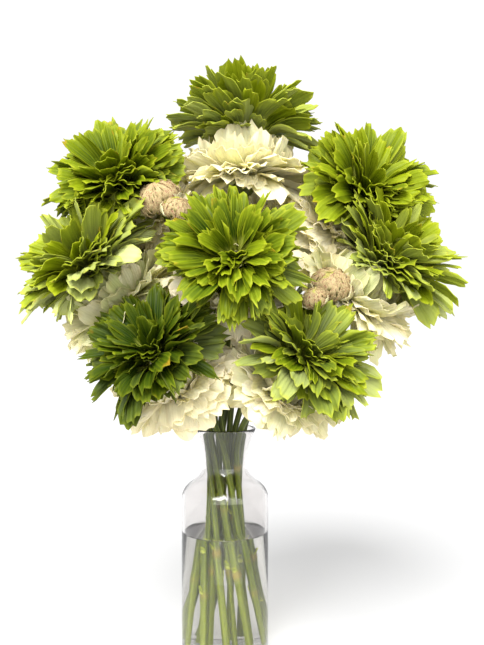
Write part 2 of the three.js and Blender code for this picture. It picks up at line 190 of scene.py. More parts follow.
class Bench:
    """A node tree, to which nodes are added."""

    def __init__(self, tree):
        self.tree = tree

    def add(self, kind, settings, sockets, output=0):
        """One node: its type, its settings, its sockets' values or wires, and the output used."""
        node = self.tree.nodes.new(kind)
        for name, value in settings.items():
            setattr(node, name, value)
        for name, value in sockets.items():
            if isinstance(value, Wire):
                self.tree.links.new(value.socket, node.inputs[name])
            else:
                node.inputs[name].default_value = value
        return None if output is None else Wire(self, node.outputs[output])

    def maths(self, operation, *values):
        return self.add("ShaderNodeMath", {"operation": operation}, dict(enumerate(values)))

    def vectors(self, operation, *values):
        return self.add("ShaderNodeVectorMath", {"operation": operation}, dict(enumerate(values)))

    def sine(self, value):
        return self.maths("SINE", value)

    def cosine(self, value):
        return self.maths("COSINE", value)

    def smooth(self, value, start, end, low=0.0, high=1.0):
        """Low before start, high after end, and a smooth change between them."""
        sockets = {"Value": value, "From Min": start, "From Max": end, "To Min": low, "To Max": high}
        return self.add("ShaderNodeMapRange", {"interpolation_type": "SMOOTHSTEP"}, sockets)

    def mix(self, share, first, second):
        """A colour between two colours."""
        sockets = {MIX_SHARE: share, MIX_FIRST: first, MIX_SECOND: second}
        return self.add("ShaderNodeMix", {"data_type": "RGBA"}, sockets, MIX_RESULT)

    def body(self, sockets):
        """The shader of a surface's matter."""
        return self.add("ShaderNodeBsdfPrincipled", {}, sockets)

    def both(self, share, first, second):
        """A shader between two shaders."""
        return self.add("ShaderNodeMixShader", {}, dict(enumerate((share, first, second))))

    def end(self, kind, result):
        """The tree's own output node, which shows a surface or hands on a geometry."""
        self.add(kind, {}, {0: result}, None)


def new_material(name):
    """An empty material with its bench."""
    made = bpy.data.materials.new(name)
    made.use_nodes = True
    made.node_tree.nodes.clear()
    return made, Bench(made.node_tree)


def clear_material(name, tint, ior):
    """Clear matter that bends what is seen through it and lets light through to what is inside."""
    made, bench = new_material(name)
    matter = bench.body({"Base Color": tint, "Roughness": 0.0, "IOR": ior, "Transmission Weight": 1})
    passing = bench.add("ShaderNodeBsdfTransparent", {}, {"Color": tint})
    shadow = bench.add("ShaderNodeLightPath", {}, {}, "Is Shadow Ray")
    bench.end("ShaderNodeOutputMaterial", bench.both(shadow, matter, passing))
    return made


GLASS_TINT = colour(242, 240, 239)
GLASS_IOR = 1.46
foot = rounded((BODY_RADIUS - FOOT_ROUNDING, FOOT_ROUNDING), FOOT_ROUNDING, -90, 0)
rim = rounded((MOUTH_RADIUS - WALL / 2, VASE_HEIGHT - WALL / 2), WALL / 2, 0, 180)
inner_radius = BODY_RADIUS - WALL
inner_foot = rounded((inner_radius - FOOT_ROUNDING, GLASS_FLOOR + FOOT_ROUNDING), FOOT_ROUNDING, 0, -90)
outside = [(0, 0), *foot, *neck(0)]
inside = [*neck(WALL)[::-1], *inner_foot, (0, GLASS_FLOOR)]
vase = shown("glass_vase", turned_mesh("glass_vase", [*outside, *rim[1:-1], *inside], VASE_SEGMENTS))
vase.data.materials.append(clear_material("clear_glass", GLASS_TINT, GLASS_IOR))
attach(vase, "root")
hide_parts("vase")


# Water: still, filling a little over half the vase's height, held by the glass, and drawn up along
# the wall.
WATER_LEVEL = 96 * MM
CLIMB = 1.4 * MM
CLIMB_WIDTH = 3.5 * MM
CLIMB_STEPS = 9
CLIMB_POWER = 3
CREST = 0.15 * MM
INTO_GLASS = 0.12 * MM
WATER_TINT = colour(250, 252, 248)
WATER_IOR = 1.33
wet_radius = inner_radius + INTO_GLASS
wet_floor = GLASS_FLOOR - INTO_GLASS
wet_corner = rounded((wet_radius - FOOT_ROUNDING, wet_floor + FOOT_ROUNDING), FOOT_ROUNDING, -90, 0)
crest_low = (wet_radius, WATER_LEVEL + CLIMB - CREST)
crest = (wet_radius - CREST / 2, WATER_LEVEL + CLIMB)
surface = [
    (wet_radius - CREST - CLIMB_WIDTH * share, WATER_LEVEL + (CLIMB - CREST) * (1 - share) ** CLIMB_POWER)
    for share in np.linspace(0, 1, CLIMB_STEPS)
]
water_profile = [(0, wet_floor), *wet_corner, crest_low, crest, *surface, (0, WATER_LEVEL)]
water = shown("still_water", turned_mesh("still_water", water_profile, VASE_SEGMENTS))
water.data.materials.append(clear_material("water", WATER_TINT, WATER_IOR))
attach(water, "root")
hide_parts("water")


# Stems: fourteen cut green stems, ridged lengthwise and swollen at their joints. They stand on the
# glass floor, cross in the waist, where the glass holds them, and bend once to carry their heads.
GAP = 0.3 * MM
STEM_LIFT = 0.75 * MM
STEM_TWIST = math.radians(75)
RINGS = {"outer": (12.6 * MM, 26 * MM), "inner": (5.4 * MM, 15 * MM)}
FLOWER_STEM_RADIUS = 2.4 * MM
BUD_STEM_RADIUS = 1.7 * MM
RECEPTACLE_SHARE = 0.53
# Name, crown centre, the way it faces, the crown's reach, its stem's ring and angle, how light its green
# petals are, which is partly their own tone and partly painted light and shade (the top flower lighter,
# the lower left one darker), how creamy they are, and how far the inner ones have opened.
FLOWERS = [
    ("top", (16, 15, 407), (0, 0.05, 1), 69, "inner", 152, 1.0, 0.2, 0.1),
    ("upper_left", (-80, 0, 368), (-0.28, -0.7, 0.66), 65, "outer", 240, 0.35, 0.0, 0.7),
    ("upper_right", (108, 0, 361), (0.28, -0.7, 0.66), 65, "outer", 80, 0.55, 0.0, 0.7),
    ("left", (-95, -18, 299), (-0.62, -0.4, 0.68), 69, "outer", 200, 1.0, 0.6, 0.4),
    ("right", (115, -18, 303), (0.62, -0.4, 0.68), 69, "outer", 40, 1.0, 0.5, 0.4),
    ("middle", (9, -62, 306), (0, -0.87, 0.5), 60, "inner", 80, 0.22, 0.0, 0.9),
    ("lower_left", (-45, -58, 236), (-0.42, -0.66, 0.62), 59, "outer", 280, -0.6, 0.0, 0.7),
    ("lower_right", (55, -55, 234), (0.45, -0.62, 0.64), 61, "outer", 320, 0.3, 0.3, 0.6),
    ("back_upper", (56, 55, 350), (0.2, 0.66, 0.72), 61, "outer", 120, 0.4, 0.1, 0.4),
    ("back_lower", (-25, 56, 262), (-0.22, 0.86, 0.46), 60, "outer", 160, 0.3, 0.0, 0.6),
]
# Name, the base of the head, the way it faces, its radius, and its stem's ring and angle.
BUDS = [
    ("left_large", (-45, -34, 348), (-0.35, -0.5, 0.8), 17, "inner", 224),
    ("left_small", (-35, -61, 338), (0.3, -0.45, 0.84), 12, "inner", 296),
    ("right_large", (80, -36, 283), (0.1, -0.6, 0.8), 16, "outer", 0),
    ("right_small", (69, -60, 278), (-0.35, -0.7, 0.62), 9, "inner", 8),
]
STRAIGHT_SAMPLES = 17
BEND_SAMPLES = 30
RISE_HANDLE = 0.6
HEAD_HANDLE = 0.2


def unit(values):
    values = np.array(values, float)
    return values / np.linalg.norm(values)


def polar(radius, angle, height):
    return np.array([radius * math.cos(angle), radius * math.sin(angle), height])


def stem_points(ring, degrees, end, facing):
    """Points up a stem: straight from the floor to the waist, then in one bend to the head."""
    at_waist, at_floor = RINGS[ring]
    angle = math.radians(degrees)
    foot_point = polar(at_floor, angle + STEM_TWIST, GLASS_FLOOR + STEM_LIFT)
    waist_point = polar(at_waist, angle, WAIST_HEIGHT)
    rise = unit(waist_point - foot_point)
    reach = np.linalg.norm(waist_point - end)
    handles = (waist_point + RISE_HANDLE * reach * rise, end - HEAD_HANDLE * reach * facing)
    shares = np.linspace(0, 1, STRAIGHT_SAMPLES, endpoint=False)
    straight = [foot_point + share * (waist_point - foot_point) for share in shares]
    bent = [cubic(waist_point, *handles, end, t) for t in np.linspace(0, 1, BEND_SAMPLES)]
    return np.array(straight + bent)


def new_head(name, base, facing, reach, ring, degrees, thick, **more):
    """A head: its base, the way it faces and its reach, the path of its stem, and more of its own."""
    path = stem_points(ring, degrees, base - GAP * facing, facing)
    known = {"name": name, "base": base, "facing": facing, "reach": reach, "path": path}
    return SimpleNamespace(**known, thick=thick, **more)


flowers = []
for name, crown, facing, reach, ring, degrees, light, cream, opened in FLOWERS:
    crown = np.array(crown) * MM
    facing = unit(facing)
    reach = reach * MM
    base = crown - RECEPTACLE_SHARE * reach * facing
    own = {"crown": crown, "light": light, "cream": cream, "opened": opened}
    flowers.append(new_head(name, base, facing, reach, ring, degrees, FLOWER_STEM_RADIUS, **own))
buds = []
for name, base, facing, radius, ring, degrees in BUDS:
    base = np.array(base) * MM
    facing = unit(facing)
    radius = radius * MM
    own = {"crown": base + radius * facing}
    buds.append(new_head(name, base, facing, radius, ring, degrees, BUD_STEM_RADIUS, **own))
heads = flowers + buds
STEM_FORM = {"Sides": 20, "Ridges": 5, "Ridge depth": 0.07}
JOINTS = (0.17, 0.3, 0.68)
JOINT_SPREAD = 0.04
JOINT_SWELL = 0.3
JOINT_WIDTH = 0.011
FOOT_SWELL = 0.12
FOOT_POWER = 4
NECK_SWELL = 0.45
NECK_WIDTH = 0.03
NECK_POWER = 2


def new_tree(name, form):
    """A Geometry Nodes tree that is given a geometry, the numbers of a form and a material."""
    tree = bpy.data.node_groups.new(name, "GeometryNodeTree")
    sockets = tree.interface
    sockets.new_socket("Geometry", in_out="INPUT", socket_type="NodeSocketGeometry")
    for label, value in form.items():
        kind = "NodeSocketInt" if isinstance(value, int) else "NodeSocketFloat"
        sockets.new_socket(label, in_out="INPUT", socket_type=kind).default_value = value
    sockets.new_socket("Material", in_out="INPUT", socket_type="NodeSocketMaterial")
    sockets.new_socket("Geometry", in_out="OUTPUT", socket_type="NodeSocketGeometry")
    bench = Bench(tree)
    given = tree.nodes.new("NodeGroupInput")
    wires = {socket.name: Wire(bench, socket) for socket in given.outputs if socket.name}
    return tree, bench, wires


def stored(bench, geometry, name, value):
    """A geometry that keeps a number at each point under a name."""
    settings = {"data_type": "FLOAT", "domain": "POINT"}
    sockets = {"Geometry": geometry, "Name": name, "Value": value}
    return bench.add("GeometryNodeStoreNamedAttribute", settings, sockets)


def kept(bench, name, kind="FLOAT"):
    """What each point of a geometry keeps under a name."""
    return bench.add("GeometryNodeInputNamedAttribute", {"data_type": kind}, {"Name": name})


def changed(bench, kind, geometry, sockets):
    """A geometry after a node that changes it."""
    return bench.add("GeometryNode" + kind, {}, {"Geometry": geometry, **sockets})


def shaded_smooth(bench, geometry, domain, smooth):
    sockets = {"Geometry": geometry, "Shade Smooth": smooth}
    return bench.add("GeometryNodeSetShadeSmooth", {"domain": domain}, sockets)


def finished(bench, geometry, material):
    """Gives the geometry its material and hands it on."""
    bench.end("NodeGroupOutput", changed(bench, "SetMaterial", geometry, {"Material": material}))


def grown(name, seeds, tree, values):
    """Runs a tree on a seed mesh and returns the result as a plain mesh in a new object."""
    piece = shown(name, seeds)
    modifier = piece.modifiers.new("grown", "NODES")
    modifier.node_group = tree
    for label, value in values.items():
        modifier[tree.interface.items_tree[label].identifier] = value
    bpy.context.view_layer.update()
    made = bpy.data.meshes.new_from_object(piece.evaluated_get(bpy.context.evaluated_depsgraph_get()))
    made.name = name
    piece.modifiers.clear()
    piece.data = made
    return piece


def stem_tree():
    """A ridged tube along each seed line, as thick as the line's points say."""
    tree, bench, given = new_tree("ridged_stems", STEM_FORM)
    line = bench.add("GeometryNodeMeshToCurve", {}, {"Mesh": given["Geometry"]})
    line = bench.add("GeometryNodeSetCurveRadius", {}, {"Curve": line, "Radius": 1.0})
    circle = {"Resolution": given["Sides"], "Radius": 1.0}
    ring = bench.add("GeometryNodeCurvePrimitiveCircle", {"mode": "RADIUS"}, circle)
    around = bench.add("GeometryNodeInputIndex", {}, {}) / given["Sides"]
    wave = bench.cosine(around * given["Ridges"] * (2 * math.pi))
    ridged = bench.add("GeometryNodeInputPosition", {}, {}) * (1 + given["Ridge depth"] * wave)
    ring = changed(bench, "SetPosition", ring, {"Position": ridged})
    ring = stored(bench, ring, "around", wave)
    sweep = {"Curve": line, "Profile Curve": ring, "Scale": kept(bench, "thick"), "Fill Caps": True}
    tube = bench.add("GeometryNodeCurveToMesh", {}, sweep)
    tube = shaded_smooth(bench, tube, "FACE", True)
    finished(bench, changed(bench, "RealizeInstances", tube, {}), given["Material"])
    return tree


def store(mesh, name, values):
    """Keeps one number or one vector a vertex on a mesh under a name."""
    values = np.asarray(values, np.float32)
    kind, field = ("FLOAT", "value") if values.ndim == 1 else ("FLOAT_VECTOR", "vector")
    mesh.attributes.new(name, kind, "POINT").data.foreach_set(field, values.ravel())


def shares_along(path):
    """The share of a path's length at each of its points."""
    steps = np.linalg.norm(np.diff(path, axis=0), axis=1)
    travelled = np.concatenate([[0], np.cumsum(steps)])
    return travelled / travelled[-1]


def stem_seed(head):
    """The line of a stem, with its thickness and its share of the length at each point."""
    mesh = bpy.data.meshes.new(head.name)
    points = head.path
    mesh.from_pydata([tuple(p) for p in points], [(i, i + 1) for i in range(len(points) - 1)], [])
    share = shares_along(points)
    joint = sum(np.exp(-(((share - at) / JOINT_WIDTH) ** 2)) for at in head.joints)
    foot_swell = FOOT_SWELL * (1 - share) ** FOOT_POWER
    neck_swell = NECK_SWELL * np.clip(1 - (1 - share) / NECK_WIDTH, 0, 1) ** NECK_POWER
    store(mesh, "thick", head.thick * (1 + JOINT_SWELL * joint + foot_swell + neck_swell))
    store(mesh, "along", share)
    store(mesh, "joint", joint)
    return mesh


def named(bench, *names):
    """The numbers that are kept on a piece, by name."""
    return {name: bench.add("ShaderNodeAttribute", {"attribute_name": name}, {}, "Fac") for name in names}


def noise(bench, scale, detail=2.0):
    """Cloudy variation from 0 to 1, with patches of about 1/scale metres."""
    place = bench.add("ShaderNodeTexCoord", {}, {}, "Object")
    sockets = {"Vector": place, "Scale": scale, "Detail": detail}
    return bench.add("ShaderNodeTexNoise", {}, sockets)


def painted(bench, values, look):
    """The ground of a look, with its marks laid over it in turn."""

    def clouded(pair):
        return bench.mix(values["cloud"], *(colour(*screen) for screen in pair))

    shade = clouded(look["ground"])
    if "lit" in look:
        shade = bench.mix(values["light"], shade, clouded(look["lit"]))
    for screen, parts in look["marks"]:
        share = 1.0
        for label, part in parts.items():
            is_scale = isinstance(part, float)
            share = share * (values[label] * part if is_scale else bench.smooth(values[label], *part))
        shade = bench.mix(share, shade, colour(*screen))
    return shade


def bumped(bench, height, strength, distance):
    return bench.add("ShaderNodeBump", {}, {"Strength": strength, "Distance": distance, "Height": height})


# A look is a ground of two clouded screen colours, and marks laid over it in turn. A mark is a screen
# colour and what its share is made of: a number scales a value, and a range fades it in.
STEM_LOOK = {
    "cloud": 90.0,
    "ground": ((54, 68, 2), (78, 90, 8)),
    "marks": [
        ((112, 122, 28), {"around": (0.0, 1.0, 0.0, 0.55)}),
        ((108, 116, 32), {"along": (0.32, 0.1, 0.0, 0.5)}),
        ((126, 104, 44), {"brown": (0.6, 1.3, 0.0, 0.75)}),
    ],
}
BROWN_CLOUD = 0.5
STEM_GRAIN = {"scale": 700.0, "detail": 3.0}
STEM_BUMP = {"strength": 0.25, "distance": 0.4 * MM}
STEM_ROUGHNESS = 0.42
STEM_SPECULAR = 0.45


def stem_material():
    """Fresh green stem: lighter along its ridges, yellow-brown at its joints, paler at the foot."""
    made, bench = new_material("stem_green")
    values = named(bench, "along", "around", "joint")
    values["cloud"] = noise(bench, STEM_LOOK["cloud"])
    values["brown"] = values["joint"] + BROWN_CLOUD * values["cloud"]
    bump = bumped(bench, noise(bench, **STEM_GRAIN), **STEM_BUMP)
    green = painted(bench, values, STEM_LOOK)
    sockets = {"Base Color": green, "Roughness": STEM_ROUGHNESS, "Normal": bump}
    body = bench.body({**sockets, "Specular IOR Level": STEM_SPECULAR})
    bench.end("ShaderNodeOutputMaterial", body)
    return made


stem_green = stem_material()
stems = stem_tree()
draw = random.Random(11)
for head in heads:
    head.joints = [at + draw.uniform(-JOINT_SPREAD, JOINT_SPREAD) for at in JOINTS]
    name = head.name + "_stem"
    stem = grown(name + "_dressed", stem_seed(head), stems, {"Material": stem_green})
    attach(stem, "root")
    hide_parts(name)


# Petals: every petal is a thin closed blade. Its line is a bend from root to tip, and its outline
# widens from a claw to a rounded, toothed, waved end. A zone is the stretch of the blade's length
# over which something fades in.
ROW_CROWDING = 1.4
SIDE_TEETH = 6 * math.pi
SIDE_TEETH_ZONE = (0.45, 0.75)
END_TEETH = 3 * math.pi
END_TEETH_ZONE = (0.55, 1.0)
END_TEETH_SHIFT = 11.0
FLAT_BLADE_TEETH = 0.4
UNEVEN_WAVE = (5.3, 3.1)
EVEN_SHARE = 0.7
UNEVEN_SHARE = 0.4
LOBE_WAVE = (2.4, 1.7)
BLUNT_POWER = 3.0
ROLL_ZONE = (0.1, 1.0)
CUP_POWER = 1.6
RUFFLE_ZONE = (0.35, 1.0)
RUFFLE_SHIFT = 2.3
RUFFLE_TILT = 4.0
HOOK_ZONE = (0.4, 1.2)
HOOK_POWER = 1.5
CRISP_FOLD = 1.0
# The form of a green petal. The other layers say where theirs differs.
BLADE_FORM = {
    "Columns": 9, "Rows": 6, "Claw": 0.1, "Widens from": 0.54, "Widest from": 0.8,
    "Rounding": 0.1, "Tooth": 0.03, "Side tooth": 0.05, "Cup": 0.34, "Ruffle": 0.13, "Waves": 7.0,
    "Thickness": 0.45 * MM,
}


def petal_tree():
    """One blade at each seed point, shaped by the point's own line, width, roll and phase."""
    tree, bench, given = new_tree("petals", BLADE_FORM)
    counts = {"Vertices X": given["Columns"], "Vertices Y": given["Rows"], "Vertices Z": 2}
    blank = bench.add("GeometryNodeMeshCube", {}, {"Size": (2.0, 1.0, 1.0), **counts})
    seeds = {"Points": given["Geometry"], "Instance": blank}
    whole = bench.add("GeometryNodeInstanceOnPoints", {}, seeds)
    whole = changed(bench, "RealizeInstances", whole, {})
    place = bench.add("GeometryNodeInputPosition", {}, {})
    parts = bench.add("ShaderNodeSeparateXYZ", {}, {0: place})
    side, length, layer = (Wire(bench, socket) for socket in parts.socket.node.outputs)
    length = 1 - (0.5 - length) ** ROW_CROWDING
    for name, value in (("across", side), ("length", length), ("layer", layer * given["Thickness"])):
        whole = stored(bench, whole, name, value)
    names = ("across", "length", "layer", "phase", "half", "roll", "cup", "hook")
    side, length, layer, phase, half, roll, own_cup, own_hook = (kept(bench, name) for name in names)
    names = ("root", "bend", "tip", "side")
    root, bend, tip, flat = (kept(bench, name, "FLOAT_VECTOR") for name in names)

    # Outline: widening blade, rounded end, teeth that differ from petal to petal
    edge = bench.maths("ABSOLUTE", side)
    widen = bench.smooth(length, given["Widens from"], given["Widest from"], given["Claw"], 1.0)
    notch = bench.cosine(length * SIDE_TEETH + phase) * given["Side tooth"] * edge
    width = widen * (1 + notch * bench.smooth(length, *SIDE_TEETH_ZONE))
    uneven, lobe = (bench.sine(side * wave + phase * shift) for wave, shift in (UNEVEN_WAVE, LOBE_WAVE))
    tooth = bench.cosine(side * END_TEETH + bench.sine(phase * END_TEETH_SHIFT))
    tooth = tooth * (EVEN_SHARE + UNEVEN_SHARE * uneven) * (FLAT_BLADE_TEETH + own_cup)
    tooth = tooth * given["Tooth"] * bench.smooth(length, *END_TEETH_ZONE)
    end = 1 - edge**BLUNT_POWER * given["Rounding"] + tooth + lobe * given["Tooth"]
    t = length * end

    # Line of the petal at this point, and its three directions
    rest = 1 - t
    line = root * (rest * rest) + bend * (2 * t * rest) + tip * (t * t)
    way = bench.vectors("NORMALIZE", (bend - root) * rest + (tip - bend) * t)
    face = bench.vectors("CROSS_PRODUCT", flat, way)
    roll = roll * bench.smooth(length, *ROLL_ZONE)
    turn = bench.cosine(roll)
    lean = bench.sine(roll)
    sideways = flat * turn + face * lean
    raised = face * turn - flat * lean

    # Cup across the blade, waves that grow towards its end, and a hook at its end
    cup = given["Cup"] * own_cup * (edge * width) ** CUP_POWER * half
    wave = bench.sine(side * given["Waves"] + phase * RUFFLE_SHIFT + length * RUFFLE_TILT)
    ruffle = given["Ruffle"] * half * wave * bench.smooth(length, *RUFFLE_ZONE)
    hook = own_hook * half * bench.smooth(length, *HOOK_ZONE) ** HOOK_POWER
    shaped = line + sideways * (side * width * half) + raised * (cup + ruffle + layer - hook)
    whole = changed(bench, "SetPosition", whole, {"Position": shaped})

    # Round the blade's faces and keep its rim crisp
    fold = bench.add("GeometryNodeInputMeshEdgeAngle", {}, {})
    less = {"operation": "LESS_THAN", "data_type": "FLOAT"}
    soft = bench.add("FunctionNodeCompare", less, {0: fold, 1: CRISP_FOLD})
    whole = shaded_smooth(bench, whole, "FACE", True)
    whole = shaded_smooth(bench, whole, "EDGE", soft)
    finished(bench, whole, given["Material"])
    return tree


blades = petal_tree()
GOLDEN_ANGLE = math.pi * (3 - math.sqrt(5))
PHASES = (0, 6.28)
MIXING = 0.22
AXIS_SAMPLES = 13
FIT_STEPS = 12
SHORTER = 0.045
STEEPER = 0.015
STEM_ROOM = 3.4 * MM
KEEP_OUT_RADII = [38 * MM, 38 * MM, 28 * MM, 28 * MM, 0, 0]
KEEP_OUT_HEIGHTS = [0, 130 * MM, 150 * MM, 182 * MM, 184 * MM, 1]
SPINE_SHARES = (0.45, 0.7, 1.0)
EDGE_SHARES = (-0.8, 0, 0.8)


def closest(first, second):
    """The closest points of two heads' axes, and how far apart they are."""
    axis = second.crown - second.base
    pairs = []
    for share in np.linspace(0, 1, AXIS_SAMPLES):
        a = first.base + share * (first.crown - first.base)
        along = np.clip(np.dot(a - second.base, axis) / np.dot(axis, axis), 0, 1)
        b = second.base + along * axis
        pairs.append((a, b, np.linalg.norm(a - b)))
    return min(pairs, key=lambda pair: pair[2])


for head in heads:
    limits = []
    for other in heads:
        if other is head:
            continue
        a, b, apart = closest(head, other)
        share = head.reach / (head.reach + other.reach)
        away = unit(b - a)
        limits.append((*away, np.dot(away, a) + apart * share + MIXING * head.reach))
    head.limits = np.array(limits)
    head.others = np.concatenate([other.path for other in heads if other is not head])
    turn = Vector((0, 0, 1)).rotation_difference(Vector(head.facing))
    head.turn = np.array(turn.to_matrix())


def is_clear(head, points):
    """True where points stay in the head's own room, and out of the vase and the other stems."""
    limits = head.limits
    if np.any(points @ limits[:, :3].T > limits[:, 3]):
        return False
    radii = np.hypot(points[:, 0], points[:, 1])
    if np.any(radii < np.interp(points[:, 2], KEEP_OUT_HEIGHTS, KEEP_OUT_RADII)):
        return False
    apart = np.linalg.norm(points[:, None, :] - head.others[None, :, :], axis=2)
    return apart.min() > STEM_ROOM


def curled(flat, curl):
    """A petal's line with its last part turned up or down."""
    bend = np.array(flat[1])
    last = np.array(flat[2]) - bend
    cosine, sine = math.cos(curl), math.sin(curl)
    turned = np.array([cosine * last[0] - sine * last[1], sine * last[0] + cosine * last[1]])
    return [flat[0], flat[1], tuple(bend + turned)]


def directions(head, azimuth):
    """The way out of a head at an azimuth, and the way across it."""
    outwards = head.turn @ np.array([math.cos(azimuth), math.sin(azimuth), 0])
    across = head.turn @ np.array([math.sin(azimuth), -math.cos(azimuth), 0])
    return outwards, across


def fitted(head, spine, length, angle, half, azimuth, curl, sway):
    """The longest petal that fits its room, as world points of its line, its side and half width."""
    outwards, across = directions(head, azimuth)
    for step in range(FIT_STEPS):
        flat = spine(head.reach, length * (1 - SHORTER * step), angle * (1 - STEEPER * step))
        line = [head.crown + out * outwards + up * head.facing for out, up in curled(flat, curl)]
        line[2] = line[2] + sway * length * across
        width = half * (1 - SHORTER * step)
        middle = [quadratic(*line, share) for share in SPINE_SHARES]
        points = [point + side * width * across for point in middle for side in EDGE_SHARES]
        if is_clear(head, np.array(points)):
            return {"line": line, "side": across, "half": width}
    return None


def petal_seed(name, layer):
    """Seed points at the origin that carry each petal's own values."""
    mesh = bpy.data.meshes.new(name)
    mesh.from_pydata([(0, 0, 0)] * len(layer), [], [])
    for i, label in enumerate(("root", "bend", "tip")):
        store(mesh, label, [petal["line"][i] for petal in layer])
    for label in ("side", "half", "roll", "phase", "cup", "hook", "light", "cream"):
        store(mesh, label, [petal[label] for petal in layer])
    return mesh


GROWING_ONLY = ("root", "bend", "tip", "side", "half", "roll", "cup", "hook", "layer")


def add_petals(name, layer, material, form, node=None):
    """Grows a layer of petals into one piece, which stands for a CAD node where one is given."""
    piece = grown(name, petal_seed(name, layer), blades, {**form, "Material": material})
    for label in GROWING_ONLY:
        piece.data.attributes.remove(piece.data.attributes[label])
    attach(piece, "root")
    if node:
        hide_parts(node)


def picker(draw, ranges):
    """Draws evenly from the named range that it is asked for."""
    return lambda name: draw.uniform(*ranges[name])


# Receptacles: the short green column at the top of each flower's stem that its petals grow from. The
# profile is given in shares of the crown's reach, as radius and height from the crown's centre.
RECEPTACLE_PROFILE = [
    (0, -RECEPTACLE_SHARE), (0.075, -RECEPTACLE_SHARE), (0.15, -0.44), (0.13, -0.3), (0.11, -0.16),
    (0.07, -0.02), (0, 0.02),
]
RECEPTACLE_SEGMENTS = 20
RECEPTACLE_TONE = 0.4
for head in flowers:
    name = head.name + "_receptacle"
    scaled = [(radius * head.reach, height * head.reach) for radius, height in RECEPTACLE_PROFILE]
    mesh = turned_mesh(name, scaled, RECEPTACLE_SEGMENTS)
    corners = np.array([v.co for v in mesh.vertices]) @ head.turn.T + head.crown
    mesh.vertices.foreach_set("co", corners.astype(np.float32).ravel())
    mesh.update()
    for label in ("along", "around", "joint"):
        store(mesh, label, np.full(len(mesh.vertices), RECEPTACLE_TONE))
    receptacle = shown(name, mesh)
    receptacle.data.materials.append(stem_green)
    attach(receptacle, "root")


# White petals: the broad, cupped, ruffled lower petals of each flower, soft and cream-white. They
# grow from the receptacle, the lowest laid back and the innermost upright, narrow and greenish.
BLADE_SPECULAR = 0.16
WHITE_LOOK = {
    "cloud": 120.0,
    "ground": ((255, 251, 234), (254, 242, 214)),
    "veins": (42.0, 5.0),
    "margin": (0.72, 0.9),
    "specks": (1150.0, 1.0),
    "marks": [
        ((206, 208, 140), {"vein": (0.55, 1.0), "length": (1.0, 0.3, 0.0, 0.5)}),
        ((196, 200, 112), {"length": (0.7, 0.12, 0.0, 0.85)}),
        ((178, 192, 104), {"cream": 1.0}),
        ((232, 204, 178), {"margin": 0.5, "cloud": 1.0}),
        ((176, 112, 90), {"specks": (0.7, 0.76, 0.0, 0.6), "length": (0.6, 1.0)}),
    ],
    "relief": {"veins": 0.5, "pucker scale": 260.0, "puckers": 1.5},
    "bump": {"strength": 0.3, "distance": 0.5 * MM},
    "roughness": 0.55,
    "glow": (251, 251, 190),
    "through": 0.38,
}


def petal_values(bench, look):
    """The values over a petal that its marks are made of."""
    values = named(bench, "across", "length", "light", "cream", "phase")
    across, length = values["across"], values["length"]
    rate, shift = look["veins"]
    values["vein"] = bench.cosine(across * rate + values["phase"] * shift)
    values["cloud"] = noise(bench, look["cloud"])
    values["specks"] = noise(bench, *look["specks"])
    if "gathering" in look:
        values["specks"] = values["specks"] + bench.smooth(length, *look["gathering"])
    if "margin" in look:
        sides_from, end_from = look["margin"]
        near_side = bench.smooth(bench.maths("ABSOLUTE", across), sides_from, 1.0)
        values["margin"] = bench.maths("MAXIMUM", near_side, bench.smooth(length, end_from, 1.0))
    return values


def petal_material(name, look):
    """A thin petal in its look: satin on its face, with light that comes through from behind."""
    made, bench = new_material(name)
    values = petal_values(bench, look)
    relief = look["relief"]
    height = values["vein"] * relief["veins"] + noise(bench, relief["pucker scale"]) * relief["puckers"]
    bump = bumped(bench, height, **look["bump"])
    shade = painted(bench, values, look)
    sockets = {"Base Color": shade, "Roughness": look["roughness"], "Normal": bump}
    body = bench.body({**sockets, "Specular IOR Level": BLADE_SPECULAR})
    glow = {"Color": colour(*look["glow"]), "Normal": bump}
    light = bench.add("ShaderNodeBsdfTranslucent", {}, glow)
    bench.end("ShaderNodeOutputMaterial", bench.both(look["through"], body, light))
    return made


# Sizes in shares of the reach. A bulge is what an upright petal has more than one that is laid out.
WHITE_COUNT = 125
WHITE_LENGTH = 0.8
WHITE_HALF = 0.19
WHITE_WIDEST = math.radians(112)
WHITE_STEEPEST = math.radians(12)
WHITE_ROOT_AT = (0.07, 0.1)
WHITE_ROOT_BULGE = 0.14
WHITE_BEND_AT = (0.3, 0.26)
WHITE_BEND_BULGE = (0.28, -0.12)
WHITE_TIP_RISE = 0.13
WHITE_SEED = 500
WHITE_RANGES = {
    "angle": (-0.1, 0.1), "length": (0.84, 1.08), "half": (0.75, 1.15), "azimuth": (0, 0.4),
    "curl": (-0.3, 0.45), "sway": (-0.1, 0.1), "roll": (-0.35, 0.35), "phase": PHASES,
    "cup": (-0.7, 1.2), "hook": (-0.3, 0.9),
}
INNER_FROM = 0.4
INNER_SHORTER = 0.2
INNER_NARROWER = 0.4
INNER_CREAM = 0.6


def white_spine(reach, length, angle):
    """Root, bend and tip of a white petal, as radius and height from the crown."""
    base = -RECEPTACLE_SHARE * reach
    bulge = max(0, math.cos(angle))
    root = (WHITE_ROOT_AT[0] * reach, base + (WHITE_ROOT_AT[1] + WHITE_ROOT_BULGE * bulge) * reach)
    out, up = ((at + more * bulge) * reach for at, more in zip(WHITE_BEND_AT, WHITE_BEND_BULGE))
    tip = (length * math.sin(angle), base + WHITE_TIP_RISE * reach + length * math.cos(angle))
    return root, (out, base + up), tip


